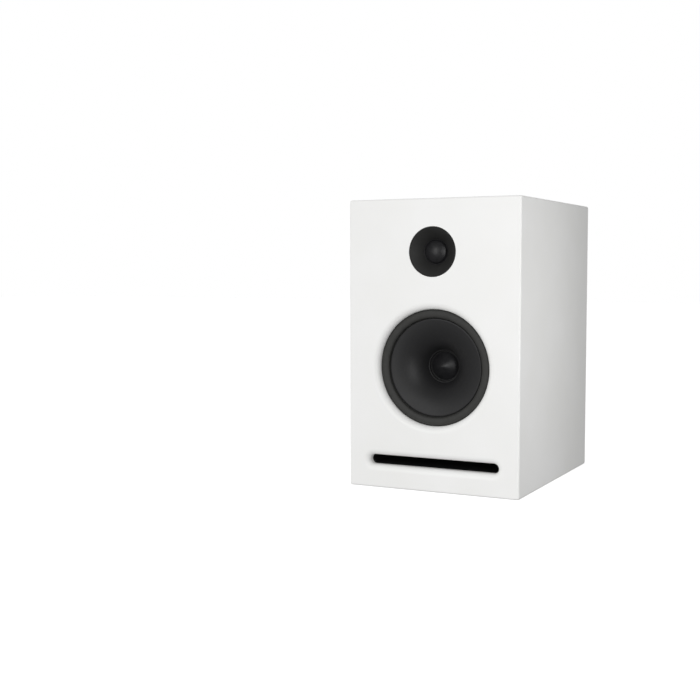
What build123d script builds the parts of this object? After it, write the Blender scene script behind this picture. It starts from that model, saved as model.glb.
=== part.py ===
from build123d import *
import os
from math import cos, radians, sin, sqrt

os.makedirs("parts", exist_ok=True)

# Two-way bookshelf speaker, millimetres. The origin is the middle of the underside,
# +Z is up and the front faces -Y.

# Cabinet
cab_w = 178
cab_d = 228
cab_h = 285
edge_r = 2
wall_t = 15
baffle_t = 18
rear_t = 15
rear_inset = 2
batten_t = 15
rear_gasket_t = 1.5
foam_t = 12

# Slot port
slot_z = 27.6
slot_w = 135
slot_h = 9.6
slot_lip_r = 6
duct_depth = 9  # front end of the duct behind the front face
duct_length = 105
duct_t = 2

# Woofer: depths are measured back from the front face, radii from the woofer's axis
woofer_z = 121.2
woofer_r = 57.1  # opening behind its rounded lip
woofer_lip_r = 6.4
woofer_seat = 7  # floor of the rebate that the frame bolts to
woofer_flange_r = 69.5
woofer_bolt_r = 64.5
woofer_bolts = 4
coil_r = 13.1  # outside of the former
roll_r = 3.9
roll_t = 1
roll_middle_r = 52.8
cone_rim_r = 46.6
cone_neck_r = 16.3
shelf_depth = 41
plate_depth = 57
magnet_depth = 62
yoke_depth = 76
woofer_depth = 81

# Tweeter
tweeter_z = 233.7
tweeter_r = 24.25  # outside of the waveguide's mouth
tweeter_seat = 8
tweeter_flange_r = 35
tweeter_bolt_r = 30.5
tweeter_bolts = 3
throat_r = 12.7
dome_r = 12.5

# Terminals
cup_z = 75
cup_w = 64
cup_h = 50
cup_depth = 28
cup_t = 2
post_pitch = 19
stud_r = 3
plug_r = 2

# Crossover board
board_w = 100
board_h = 84
board_z = 177
board_t = 1.6
spacer_l = 6.4

fit_gap = 0.3
screw_r = 1.7

front_y = -cab_d / 2
back_y = cab_d / 2
inner_w = cab_w - 2 * wall_t
inner_h = cab_h - 2 * wall_t
mid_z = cab_h / 2
baffle_back_y = front_y + baffle_t
panel_back_y = back_y - rear_inset
panel_front_y = panel_back_y - rear_t
batten_back_y = panel_front_y - rear_gasket_t
batten_front_y = batten_back_y - batten_t


def face_at(x, y, z):
    """Plane that looks out of the front at a point."""
    return Plane(origin=(x, y, z), x_dir=(1, 0, 0), z_dir=(0, -1, 0))


def section_at(z, turn=0):
    """Half section through a driver: local x is the depth, local y the radius."""
    a = radians(turn)
    return Plane(origin=(0, front_y, z), x_dir=(0, 1, 0), z_dir=(cos(a), 0, sin(a)))


woofer_face = face_at(0, front_y, woofer_z)
woofer_section = section_at(woofer_z)
woofer_axis = Axis((0, front_y, woofer_z), (0, 1, 0))
tweeter_face = face_at(0, front_y, tweeter_z)
tweeter_section = section_at(tweeter_z)
tweeter_axis = Axis((0, front_y, tweeter_z), (0, 1, 0))
slot_face = face_at(0, front_y, slot_z)


def ring(face, near, far, outer, inner=0, mode=Mode.ADD):
    """Disc or ring across a driver's axis, between two depths."""
    with BuildSketch(face.offset(-far)) as outline:
        Circle(outer)
        if inner:
            Circle(inner, mode=Mode.SUBTRACT)
    extrude(outline.sketch, amount=far - near, mode=mode)


def holes(face, near, far, radius, places, mode=Mode.SUBTRACT):
    """Round holes, or pins, at places on a face, between two depths."""
    with BuildSketch(face.offset(-far)) as outline:
        with Locations(*places):
            Circle(radius)
    extrude(outline.sketch, amount=far - near, mode=mode)


def turned(section, axis, points, mode=Mode.ADD):
    """Straight-sided outline of (depth, radius) points turned about a driver's axis."""
    with BuildSketch(section) as outline:
        Polygon(*points, align=None)
    revolve(outline.sketch, axis=axis, mode=mode)


def bulge(section, axis, base, rise, radius, thickness):
    """Thin spherical cap whose rim is at the base depth and whose crown points forward."""
    sphere = (radius**2 + rise**2) / (2 * rise)
    with BuildSketch(section) as outline:
        with Locations((base - rise + sphere, 0)):
            Circle(sphere)
            Circle(sphere - thickness, mode=Mode.SUBTRACT)
        with Locations((base, 0)):
            Rectangle(3 * sphere, 3 * sphere, align=(Align.MIN, Align.CENTER), mode=Mode.SUBTRACT)
        Rectangle(9 * base, 9 * base, align=(Align.CENTER, Align.MAX), mode=Mode.SUBTRACT)
    revolve(outline.sketch, axis=axis)


def on_circle(radius, count, start):
    """Places spread evenly round a circle."""
    step = 360 / count
    turns = [radians(start + step * i) for i in range(count)]
    return [(radius * cos(a), radius * sin(a)) for a in turns]


def slab(size_x, size_z, y0, y1, x, z, corner=0, mode=Mode.ADD):
    """Flat board across the depth, between two y planes."""
    with BuildSketch(face_at(x, y1, z)) as outline:
        if corner:
            RectangleRounded(size_x, size_z, corner)
        else:
            Rectangle(size_x, size_z)
    extrude(outline.sketch, amount=y1 - y0, mode=mode)


def save(builder, label):
    builder.part.label = label
    export_step(builder.part, f"parts/{label}.step")


woofer_bolt_places = on_circle(woofer_bolt_r, woofer_bolts, 45)
tweeter_bolt_places = on_circle(tweeter_bolt_r, tweeter_bolts, 90)

# Cabinet: a rounded block is cut into the baffle and a mitred wrap of four panels

with BuildPart() as block:
    with BuildSketch():
        Rectangle(cab_w, cab_d)
    extrude(amount=cab_h)
    fillet(block.edges(), radius=edge_r)

with BuildPart() as front_baffle:
    add(block.part)
    split(bisect_by=face_at(0, baffle_back_y, 0), keep=Keep.TOP)
    # woofer opening with its rounded lip, and the rebate behind it
    with BuildSketch(woofer_section):
        with BuildLine():
            lip = ThreePointArc(
                (0, woofer_r + woofer_lip_r),
                (woofer_lip_r * (1 - sqrt(0.5)), woofer_r + woofer_lip_r * (1 - sqrt(0.5))),
                (woofer_lip_r, woofer_r),
            )
            Polyline(
                lip @ 1,
                (woofer_seat, woofer_r),
                (woofer_seat, woofer_flange_r + fit_gap),
                (baffle_t + 1, woofer_flange_r + fit_gap),
                (baffle_t + 1, 0),
                (-1, 0),
                (-1, woofer_r + woofer_lip_r),
                lip @ 0,
            )
        make_face()
    revolve(axis=woofer_axis, mode=Mode.SUBTRACT)
    # tweeter opening and its rebate
    ring(tweeter_face, -1, baffle_t, tweeter_r + 0.15, mode=Mode.SUBTRACT)
    ring(tweeter_face, tweeter_seat, baffle_t, tweeter_flange_r + fit_gap, mode=Mode.SUBTRACT)
    # slot with a rounded lip, and the wider pocket that holds the duct
    with BuildSketch(slot_face):
        SlotOverall(slot_w, slot_h)
    extrude(amount=-baffle_t, mode=Mode.SUBTRACT)
    slot_edges = front_baffle.edges().filter_by_position(Axis.Y, front_y - 0.1, front_y + 0.1)
    slot_edges = slot_edges.filter_by_position(Axis.Z, slot_z - slot_h, slot_z + slot_h)
    fillet(slot_edges.filter_by_position(Axis.X, -slot_w / 2, slot_w / 2), radius=slot_lip_r)
    with BuildSketch(slot_face.offset(-baffle_t)):
        SlotOverall(slot_w + 2 * duct_t + fit_gap, slot_h + 2 * duct_t + fit_gap)
    extrude(amount=baffle_t - duct_depth, mode=Mode.SUBTRACT)
    # pilot holes for the driver screws, drilled from behind
    holes(woofer_face, 2.5, woofer_seat, screw_r, woofer_bolt_places)
    holes(tweeter_face, 4, tweeter_seat, screw_r, tweeter_bolt_places)
save(front_baffle, "front_baffle")

with BuildPart() as wrap:
    add(block.part)
    split(bisect_by=face_at(0, baffle_back_y, 0), keep=Keep.BOTTOM)
    slab(inner_w, inner_h, baffle_back_y - 1, back_y + 1, 0, mid_z, mode=Mode.SUBTRACT)

half_w = cab_w / 2
half_in = inner_w / 2
low_in = wall_t
high_in = cab_h - wall_t
mitres = {
    "top_panel": [(-half_w, cab_h), (half_w, cab_h), (half_in, high_in), (-half_in, high_in)],
    "bottom_panel": [(-half_w, 0), (-half_in, low_in), (half_in, low_in), (half_w, 0)],
    "left_side": [(-half_w, 0), (-half_w, cab_h), (-half_in, high_in), (-half_in, low_in)],
    "right_side": [(half_w, 0), (half_in, low_in), (half_in, high_in), (half_w, cab_h)],
}
for label, corners in mitres.items():
    with BuildPart() as panel:
        add(wrap.part)
        with BuildSketch(Plane.XZ):
            Polygon(*corners, align=None)
        extrude(amount=cab_d, both=True, mode=Mode.INTERSECT)
    save(panel, label)

# Rear panel, its battens and its seal

rear_x = half_in - batten_t / 2
rear_low = low_in + batten_t / 2
rear_high = high_in - batten_t / 2
rear_screw_places = [
    (x, z)
    for x in (-rear_x, 0, rear_x)
    for z in (rear_low, mid_z, rear_high)
    if x or z != mid_z
]
panel_face = face_at(0, panel_front_y, 0)
cup_pilot_l = 9
board_pilot_l = 8
cup_screw_places = [(x, cup_z + z) for x in (-35.5, 35.5) for z in (-27.5, 27.5)]
board_screw_places = [(x, board_z + z) for x in (-45, 45) for z in (-37, 37)]

with BuildPart() as rear_panel:
    slab(inner_w - 2 * fit_gap, inner_h - 2 * fit_gap, panel_front_y, panel_back_y, 0, mid_z)
    chamfer(rear_panel.faces().sort_by(Axis.Y)[-1].edges(), length=0.8)
    slab(
        cup_w + 1, cup_h + 1, panel_front_y - 1, panel_back_y + 1, 0, cup_z, 6.5,
        mode=Mode.SUBTRACT,
    )
    holes(panel_face, 0, rear_t, screw_r + 0.2, rear_screw_places)
    for x, z in rear_screw_places:
        with Locations(Plane(origin=(x, panel_back_y, z), z_dir=(0, 1, 0))):
            CounterSinkHole(screw_r + 0.2, 3.8, depth=rear_t, counter_sink_angle=90)
    holes(panel_face, rear_t - cup_pilot_l, rear_t, 1.4, cup_screw_places)
    holes(panel_face, 0, board_pilot_l, 1.4, board_screw_places)
save(rear_panel, "rear_panel")

with BuildPart() as rear_battens:
    for z in (rear_low, rear_high):
        slab(inner_w, batten_t, batten_front_y, batten_back_y, 0, z)
    for x in (-rear_x, rear_x):
        slab(batten_t, inner_h - 2 * batten_t - 0.2, batten_front_y, batten_back_y, x, mid_z)
    holes(face_at(0, batten_back_y - 12, 0), 0, 12, screw_r + 0.05, rear_screw_places)
save(rear_battens, "rear_battens")

with BuildPart() as rear_panel_gasket:
    slab(inner_w, inner_h, batten_back_y, panel_front_y, 0, mid_z)
    slab(
        inner_w - 2 * batten_t, inner_h - 2 * batten_t, batten_back_y, panel_front_y, 0, mid_z,
        mode=Mode.SUBTRACT,
    )
    holes(face_at(0, batten_back_y, 0), 0, rear_gasket_t, screw_r + 0.2, rear_screw_places)
save(rear_panel_gasket, "rear_panel_gasket")


def wood_screw(x, y, z, direction, head_r, shank_r, length):
    """Countersunk screw: flat head at a point, shank along the direction, cross slot."""
    place = Plane(origin=(x, y, z), x_dir=(1, 0, 0), z_dir=(0, direction, 0))
    head_t = head_r - shank_r
    with BuildSketch(place) as shank:
        Circle(shank_r)
    extrude(shank.sketch, amount=length)
    with BuildSketch(place) as head:
        Circle(head_r)
    with BuildSketch(place.offset(head_t)) as neck:
        Circle(shank_r)
    loft([head.sketch.face(), neck.sketch.face()])
    with BuildSketch(place) as cross:
        Rectangle(head_r * 1.1, head_r * 0.28)
        Rectangle(head_r * 0.28, head_r * 1.1)
    extrude(cross.sketch, amount=head_t * 0.7, mode=Mode.SUBTRACT)


with BuildPart() as rear_panel_screws:
    for x, z in rear_screw_places:
        wood_screw(x, panel_back_y - 0.05, z, -1, 3.6, screw_r, 27)
save(rear_panel_screws, "rear_panel_screws")

# Open-cell foam lining on the side and top walls

foam_low = 42
foam_back_y = batten_front_y - 3
with BuildPart() as side_linings:
    for side in (-1, 1):
        with BuildSketch(Plane.XY.offset(foam_low)):
            with Locations((side * (half_in - foam_t / 2), (baffle_back_y + foam_back_y) / 2)):
                Rectangle(foam_t, foam_back_y - baffle_back_y - 6)
    extrude(amount=high_in - foam_t - 1 - foam_low)
save(side_linings, "side_linings")

with BuildPart() as lining_top:
    with BuildSketch(Plane.XY.offset(high_in - foam_t)):
        with Locations((0, 2)):
            Rectangle(inner_w, 140)
    extrude(amount=foam_t)
save(lining_top, "lining_top")

# Slot duct, moulded in two halves that meet on the slot's middle plane

with BuildPart() as duct:
    with BuildSketch(slot_face.offset(-duct_depth)):
        SlotOverall(slot_w + 2 * duct_t, slot_h + 2 * duct_t)
    extrude(amount=-duct_length)
    with BuildSketch(slot_face.offset(-baffle_t)):
        SlotOverall(slot_w + 12, slot_h + 12)
    extrude(amount=-duct_t)
    with BuildSketch(slot_face.offset(-duct_depth)):
        SlotOverall(slot_w, slot_h)
    extrude(amount=-duct_length, mode=Mode.SUBTRACT)
    inner_end = duct.faces().sort_by(Axis.Y)[-1].inner_wires().edges()
    fillet(inner_end, radius=1.4)

for keep, label in ((Keep.TOP, "port_duct_upper"), (Keep.BOTTOM, "port_duct_lower")):
    with BuildPart() as half:
        add(duct.part)
        split(bisect_by=Plane.XY.offset(slot_z), keep=keep)
    save(half, label)

# Woofer

with BuildPart() as woofer_gasket:
    ring(woofer_face, woofer_seat, woofer_seat + 1, woofer_flange_r, woofer_r + 0.3)
    holes(woofer_face, woofer_seat, woofer_seat + 1, 2.1, woofer_bolt_places)
save(woofer_gasket, "woofer_gasket")

flange_depth = woofer_seat + 1
lip_depth = flange_depth + 1
leg_turn = 14
with BuildPart() as woofer_basket:
    turned(
        woofer_section,
        woofer_axis,
        [
            (flange_depth, 60.8),
            (flange_depth, woofer_flange_r),
            (flange_depth + 3, woofer_flange_r),
            (flange_depth + 3, 59),
            (lip_depth + 4, 57.5),
            (lip_depth + 4, 55.6),
            (lip_depth, 55.6),
            (lip_depth, 60.8),
        ],
    )
    ring(woofer_face, shelf_depth, shelf_depth + 2, 47.5, 36)
    ring(woofer_face, plate_depth - 2, plate_depth, 38, 20)
    for i in range(6):
        with BuildSketch(section_at(woofer_z, 60 * i + leg_turn / 2)):
            Polygon(
                (flange_depth + 2, 56), (flange_depth + 2, 59.2), (shelf_depth + 2, 47.4),
                (plate_depth, 38), (plate_depth, 34.5), (plate_depth - 2.5, 34.5),
                (shelf_depth + 2, 43.5), (shelf_depth, 43.5), (flange_depth + 7, 55.4),
                align=None,
            )
        revolve(axis=woofer_axis, revolution_arc=leg_turn)
    holes(woofer_face, flange_depth, flange_depth + 3, 2.1, woofer_bolt_places)
save(woofer_basket, "woofer_basket")

with BuildPart() as woofer_surround:
    with BuildSketch(woofer_section):
        with Locations((lip_depth, roll_middle_r)):
            Circle(roll_r)
            Circle(roll_r - roll_t, mode=Mode.SUBTRACT)
            Rectangle(2 * roll_r, 4 * roll_r, align=(Align.MIN, Align.CENTER), mode=Mode.SUBTRACT)
        with Locations((lip_depth - roll_t, 0)):
            with Locations((0, roll_middle_r + roll_r - roll_t)):
                Rectangle(roll_t, 60.5 - roll_middle_r - roll_r + roll_t, align=Align.MIN)
    revolve(axis=woofer_axis)
save(woofer_surround, "woofer_surround")

cone_t = 1.2
rim_depth = 8.3
neck_depth = 32
flare = (17.6, 28.9)  # point half way down the cone's flared wall
with BuildPart() as woofer_cone:
    with BuildSketch(woofer_section):
        with BuildLine():
            front_line = ThreePointArc(
                (rim_depth, cone_rim_r - 1), flare, (neck_depth, cone_neck_r)
            )
            back_line = ThreePointArc(
                (neck_depth + cone_t, cone_neck_r),
                (flare[0] + cone_t, flare[1] + 0.5),
                (rim_depth + 2.4, cone_rim_r - 0.6),
            )
            Polyline(
                front_line @ 1,
                (neck_depth, cone_neck_r - 0.8),
                (neck_depth + 1.4, cone_neck_r - 1.6),
                (neck_depth + 1.4, coil_r + 0.1),
                (neck_depth + 3, coil_r + 0.1),
                (neck_depth + 3, coil_r + 2),
                back_line @ 0,
            )
            Polyline(
                back_line @ 1,
                (rim_depth + 2.4, 49.2),
                (rim_depth + 1.4, 49.2),
                (rim_depth + 1.4, cone_rim_r + 0.2),
                (rim_depth, cone_rim_r),
                front_line @ 0,
            )
        make_face()
    revolve(axis=woofer_axis)
save(woofer_cone, "woofer_cone")

with BuildPart() as woofer_dust_cap:
    bulge(woofer_section, woofer_axis, neck_depth + 1, 6.5, coil_r - 0.5, 1)
save(woofer_dust_cap, "woofer_dust_cap")

with BuildPart() as woofer_former:
    ring(woofer_face, neck_depth + 1.6, plate_depth + 9.5, coil_r, coil_r - 0.4)
save(woofer_former, "woofer_former")

with BuildPart() as woofer_voice_coil:
    ring(woofer_face, plate_depth - 4, plate_depth + 9, coil_r + 0.8, coil_r)
save(woofer_voice_coil, "woofer_voice_coil")

with BuildPart() as woofer_spider:
    ring(woofer_face, shelf_depth - 1.3, shelf_depth - fit_gap, 43, coil_r + fit_gap)
save(woofer_spider, "woofer_spider")

with BuildPart() as woofer_top_plate:
    ring(woofer_face, plate_depth, magnet_depth, 38, coil_r + 1.5)
save(woofer_top_plate, "woofer_top_plate")

with BuildPart() as woofer_magnet:
    ring(woofer_face, magnet_depth, yoke_depth, 42, 20)
    chamfer(woofer_magnet.edges().filter_by(GeomType.CIRCLE).group_by(SortBy.RADIUS)[-1], length=1)
save(woofer_magnet, "woofer_magnet")

with BuildPart() as woofer_yoke:
    ring(woofer_face, yoke_depth, woofer_depth, 38)
    ring(woofer_face, plate_depth, yoke_depth, coil_r - 0.8)
    ring(woofer_face, plate_depth, woofer_depth, 5, mode=Mode.SUBTRACT)
    yoke_rims = woofer_yoke.edges().filter_by(GeomType.CIRCLE).group_by(SortBy.RADIUS)[-1]
    chamfer(yoke_rims.sort_by(Axis.Y)[-1], length=1.5)
save(woofer_yoke, "woofer_yoke")


def pan_screw(face, x, z, near, far, head_r, head_t):
    """Round-headed screw whose head sits behind a flange; the shank points forward."""
    holes(face, near, far, screw_r - 0.05, [(x, z)], mode=Mode.ADD)
    holes(face, far, far + head_t, head_r, [(x, z)], mode=Mode.ADD)
    with BuildSketch(face.offset(-far - head_t)) as cross:
        with Locations((x, z)):
            Rectangle(head_r, 0.8)
            Rectangle(0.8, head_r)
    extrude(cross.sketch, amount=head_t * 0.6, mode=Mode.SUBTRACT)


with BuildPart() as woofer_screws:
    for x, z in woofer_bolt_places:
        pan_screw(woofer_face, x, z, 3, flange_depth + 3, 3.6, 2.4)
save(woofer_screws, "woofer_screws")

tag_x = 52
shelf_back_y = front_y + shelf_depth + 2
tag_y = shelf_back_y + 1.5
with BuildPart() as woofer_terminals:
    slab(16, 18, shelf_back_y, tag_y, 49, woofer_z)
    for z in (-5, 5):
        slab(0.8, 4.8, tag_y, tag_y + 10, tag_x, woofer_z + z)
save(woofer_terminals, "woofer_terminals")


def wire(points, radius, corner_radii):
    """Round wire along straight runs joined by tangent arcs."""
    with BuildLine() as route:
        FilletPolyline(*points, radius=corner_radii)
    with BuildSketch(Plane(origin=route.line @ 0, z_dir=route.line % 0)) as section:
        Circle(radius)
    sweep(section.sketch, path=route.line)


def corner_radii(points):
    """Each corner's arc takes 0.45 of its shorter run."""
    places = [Vector(*p) for p in points]
    radii = []
    for a, b, c in zip(places, places[1:], places[2:]):
        turn = radians((b - a).get_angle(c - b))
        radii.append(0.45 * min((b - a).length, (c - b).length) / (sin(turn / 2) / cos(turn / 2)))
    return radii


with BuildPart() as woofer_tinsel_leads:
    for z in (-5, 5):
        tinsel = [
            (tag_x, shelf_back_y - 0.2, woofer_z + z),
            (tag_x - 3, shelf_back_y - 8, woofer_z + z),
            (tag_x - 13, shelf_back_y - 13, woofer_z + z * 0.9),
            (tag_x - 20, shelf_back_y - 24, woofer_z + z * 0.8),
        ]
        wire(tinsel, 0.6, corner_radii(tinsel))
save(woofer_tinsel_leads, "woofer_tinsel_leads")

# Tweeter

tweeter_flange_depth = tweeter_seat + 0.5
flange_back = tweeter_flange_depth + 3.5
throat_depth = 9.6
with BuildPart() as tweeter_waveguide:
    with BuildSketch(tweeter_section):
        with BuildLine():
            horn = ThreePointArc((0, tweeter_r - 0.7), (4.2, 17.2), (throat_depth - 0.4, throat_r))
            Polyline(
                horn @ 1,
                (throat_depth, throat_r),
                (throat_depth, 18.5),
                (flange_back, 18.5),
                (flange_back, tweeter_flange_r),
                (tweeter_flange_depth, tweeter_flange_r),
                (tweeter_flange_depth, tweeter_r),
                (0.4, tweeter_r),
                (0, tweeter_r - 0.4),
                horn @ 0,
            )
        make_face()
    revolve(axis=tweeter_axis)
    holes(tweeter_face, tweeter_flange_depth, flange_back, 1.9, tweeter_bolt_places)
save(tweeter_waveguide, "tweeter_waveguide")

with BuildPart() as tweeter_gasket:
    ring(tweeter_face, tweeter_seat, tweeter_flange_depth, tweeter_flange_r, tweeter_r + 0.5)
    holes(tweeter_face, tweeter_seat, tweeter_flange_depth, 1.9, tweeter_bolt_places)
save(tweeter_gasket, "tweeter_gasket")

dome_base = 9.8
with BuildPart() as tweeter_dome:
    bulge(tweeter_section, tweeter_axis, dome_base, 4.4, dome_r, 0.4)
save(tweeter_dome, "tweeter_dome")

with BuildPart() as tweeter_surround:
    turned(
        tweeter_section,
        tweeter_axis,
        [
            (dome_base, dome_r + 0.35), (10.5, 13.2), (10.5, 14), (dome_base, 14.35),
            (dome_base, 18.2), (10.3, 18.2), (10.3, 14.6), (11, 14.15), (11, 13.05),
            (10.3, dome_r + 0.35),
        ],
    )
save(tweeter_surround, "tweeter_surround")

with BuildPart() as tweeter_mount_ring:
    ring(tweeter_face, 10.3, flange_back, 18.4, 14.9)
save(tweeter_mount_ring, "tweeter_mount_ring")

with BuildPart() as tweeter_voice_coil:
    ring(tweeter_face, dome_base, 15.6, dome_r - 0.05, dome_r - 0.3)
    ring(tweeter_face, 12.2, 15.4, dome_r + 0.35, dome_r - 0.05)
save(tweeter_voice_coil, "tweeter_voice_coil")

with BuildPart() as tweeter_top_plate:
    ring(tweeter_face, flange_back, flange_back + 3, 26.5, dome_r + 0.9)
save(tweeter_top_plate, "tweeter_top_plate")

tweeter_magnet_back = flange_back + 12
with BuildPart() as tweeter_magnet:
    ring(tweeter_face, flange_back + 3, tweeter_magnet_back, 26, 17)
    chamfer(tweeter_magnet.edges().filter_by(GeomType.CIRCLE).group_by(SortBy.RADIUS)[-1], length=0.8)
save(tweeter_magnet, "tweeter_magnet")

with BuildPart() as tweeter_yoke:
    ring(tweeter_face, tweeter_magnet_back, tweeter_magnet_back + 4, 25)
    ring(tweeter_face, flange_back, tweeter_magnet_back, dome_r - 0.8)
save(tweeter_yoke, "tweeter_yoke")

with BuildPart() as tweeter_screws:
    for x, z in tweeter_bolt_places:
        pan_screw(tweeter_face, x, z, 4.5, flange_back, 3.2, 2)
save(tweeter_screws, "tweeter_screws")

tweeter_tag_x = 31
with BuildPart() as tweeter_terminals:
    slab(6.4, 14, front_y + flange_back, front_y + flange_back + 1.5, 30.6, tweeter_z)
    for z in (-4, 4):
        slab(0.6, 3, front_y + 13.5, front_y + 22, tweeter_tag_x, tweeter_z + z)
save(tweeter_terminals, "tweeter_terminals")

# Terminal cup and binding posts. Depths here are plain y values.

cup_gasket_t = 0.5
flange_t = 1.4
cup_flange_y = panel_back_y + cup_gasket_t
cup_back_y = cup_flange_y + flange_t
cup_floor_y = cup_back_y - cup_depth
post_x = post_pitch / 2
post_places = [(-post_x, cup_z), (post_x, cup_z)]


def post_ring(x, y0, y1, outer, inner=0, mode=Mode.ADD):
    """Disc or ring on a binding post's axis, between two y planes."""
    ring(face_at(x, y0, cup_z), 0, y1 - y0, outer, inner, mode)


with BuildPart() as terminal_cup:
    slab(cup_w + 14, cup_h + 12, cup_flange_y, cup_back_y, 0, cup_z, 5)
    slab(cup_w, cup_h, cup_floor_y - cup_t, cup_flange_y, 0, cup_z, 6)
    slab(
        cup_w - 2 * cup_t, cup_h - 2 * cup_t, cup_floor_y, cup_back_y, 0, cup_z, 4,
        mode=Mode.SUBTRACT,
    )
    pocket_floor = terminal_cup.faces().filter_by_position(Axis.Y, cup_floor_y, cup_floor_y)
    fillet(pocket_floor.edges(), radius=1.5)
    holes(face_at(0, cup_floor_y - cup_t, 0), 0, cup_t, 4.05, post_places)
    for x, z in cup_screw_places:
        with Locations(Plane(origin=(x, cup_back_y, z), z_dir=(0, 1, 0))):
            CounterSinkHole(1.5, 2.9, depth=flange_t, counter_sink_angle=90)
save(terminal_cup, "terminal_cup")

with BuildPart() as terminal_cup_gasket:
    slab(cup_w + 13, cup_h + 11, panel_back_y, cup_flange_y, 0, cup_z, 5)
    slab(cup_w + 1, cup_h + 1, panel_back_y, cup_flange_y, 0, cup_z, 6, mode=Mode.SUBTRACT)
    holes(face_at(0, panel_back_y, 0), 0, cup_gasket_t, 1.6, cup_screw_places)
save(terminal_cup_gasket, "terminal_cup_gasket")

with BuildPart() as terminal_cup_screws:
    for x, z in cup_screw_places:
        wood_screw(x, cup_back_y - 0.05, z, -1, 2.7, 1.3, 10)
save(terminal_cup_screws, "terminal_cup_screws")

collar_t = 4
collar_y = cup_floor_y + collar_t
stud_end_y = collar_y + 18
with BuildPart() as post_collars:
    for x, z in post_places:
        post_ring(x, cup_floor_y, collar_y, 8, stud_r + 0.1)
        post_ring(x, cup_floor_y - cup_t, cup_floor_y, 4, stud_r + 0.1)
    chamfer(post_collars.edges().filter_by_position(Axis.Y, collar_y, collar_y), length=0.4)
save(post_collars, "post_collars")

with BuildPart() as post_studs:
    for x, z in post_places:
        post_ring(x, cup_floor_y - 12, stud_end_y, stud_r)
        post_ring(x, collar_y, stud_end_y, plug_r, mode=Mode.SUBTRACT)
        with BuildSketch(Plane.XY.offset(cup_z)) as cross_hole:
            with Locations((x, collar_y + 3)):
                Circle(1.1)
        extrude(cross_hole.sketch, amount=2 * stud_r, both=True, mode=Mode.SUBTRACT)
save(post_studs, "post_studs")

nut_t = 3
tab_t = 0.8
nut_back_y = cup_floor_y - cup_t - tab_t
with BuildPart() as post_nuts:
    with BuildSketch(face_at(0, nut_back_y, 0)):
        with Locations(*post_places):
            RegularPolygon(4.5, 6, major_radius=False)
            Circle(stud_r + 0.05, mode=Mode.SUBTRACT)
    extrude(amount=nut_t)
save(post_nuts, "post_nuts")

with BuildPart() as post_solder_tabs:
    for x, z in post_places:
        slab(4, 14, nut_back_y, nut_back_y + tab_t, x, z + 7, 1)
        post_ring(x, nut_back_y, nut_back_y + tab_t, 5)
        post_ring(x, nut_back_y, nut_back_y + tab_t, stud_r + 0.1, mode=Mode.SUBTRACT)
save(post_solder_tabs, "post_solder_tabs")

washer_y = collar_y + 0.1
washer_t = 1.2
cap_y = washer_y + washer_t + 0.05
cap_l = 18
for side, colour in ((1, "red"), (-1, "black")):
    with BuildPart() as washer:
        post_ring(side * post_x, washer_y, washer_y + washer_t, 6.3, stud_r + 0.08)
    save(washer, f"post_washer_{colour}")

    with BuildPart() as cap:
        cap_face = face_at(side * post_x, cap_y, cup_z)
        post_ring(side * post_x, cap_y, cap_y + cap_l, 6.5)
        chamfer(cap.edges().filter_by(GeomType.CIRCLE).group_by(SortBy.RADIUS)[-1], length=0.6)
        holes(cap_face, 3, cap_l, 0.8, on_circle(6.9, 16, 0))
        post_ring(side * post_x, cap_y, stud_end_y + 0.3, stud_r + 0.08, mode=Mode.SUBTRACT)
        post_ring(side * post_x, cap_y, cap_y + cap_l, plug_r + 0.4, mode=Mode.SUBTRACT)
    save(cap, f"post_cap_{colour}")

# Crossover on the inside of the rear panel

board_back_y = panel_front_y - spacer_l
board_front_y = board_back_y - board_t
with BuildPart() as crossover_board:
    slab(board_w, board_h, board_front_y, board_back_y, 0, board_z, 2)
    holes(face_at(0, board_front_y, 0), 0, board_t, 1.6, board_screw_places)
save(crossover_board, "crossover_board")

with BuildPart() as board_standoffs:
    for x, z in board_screw_places:
        ring(face_at(x, board_back_y, z), 0, spacer_l, 3.2, 1.5)
save(board_standoffs, "board_standoffs")

with BuildPart() as board_screws:
    for x, z in board_screw_places:
        ring(face_at(x, board_front_y, z), 0, 13, 1.35)
        ring(face_at(x, board_front_y - 2, z), 0, 2, 2.8)
save(board_screws, "board_screws")


def capacitor(x, z, radius, length):
    """Axial film capacitor across the board with a lead bent down at each end."""
    axis_y = board_front_y - radius - 0.2
    with BuildSketch(Plane(origin=(x - length / 2, axis_y, z), z_dir=(1, 0, 0))) as body:
        Circle(radius)
    extrude(body.sketch, amount=length)
    for side in (-1, 1):
        end = x + side * length / 2
        leg = [(end, axis_y, z), (end + side * 4, axis_y, z), (end + side * 4, board_front_y - 0.1, z)]
        wire(leg, 0.4, [1.5])


with BuildPart() as woofer_capacitor:
    capacitor(22, 152, 9, 34)
save(woofer_capacitor, "woofer_capacitor")

with BuildPart() as tweeter_capacitor:
    capacitor(-22, 200, 7, 28)
save(tweeter_capacitor, "tweeter_capacitor")


def inductor(x, z, outer, inner, length):
    """Winding on a flanged bobbin that stands on the board."""
    face = face_at(x, board_front_y - length, z)
    ring(face, 0, 1.5, outer + 1, inner)
    ring(face, length - 1.5, length, outer + 1, inner)
    ring(face, 1.5, length - 1.5, outer, inner)


with BuildPart() as woofer_inductor:
    inductor(-24, 158, 19, 6, 22)
save(woofer_inductor, "woofer_inductor")

with BuildPart() as tweeter_inductor:
    inductor(28, 197, 13, 5, 12)
save(tweeter_inductor, "tweeter_inductor")

with BuildPart() as tweeter_resistor:
    slab(38, 9, board_front_y - 10.2, board_front_y - 0.2, 20, 177, 1)
    for side in (-1, 1):
        leg = [(20 + side * 19, board_front_y - 5, 177), (20 + side * 22, board_front_y - 5, 177),
               (20 + side * 22, board_front_y - 0.1, 177)]
        wire(leg, 0.4, [1.2])
save(tweeter_resistor, "tweeter_resistor")

# Hook-up wire, in pairs. Each end lies just clear of its tag or of the board.

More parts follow.
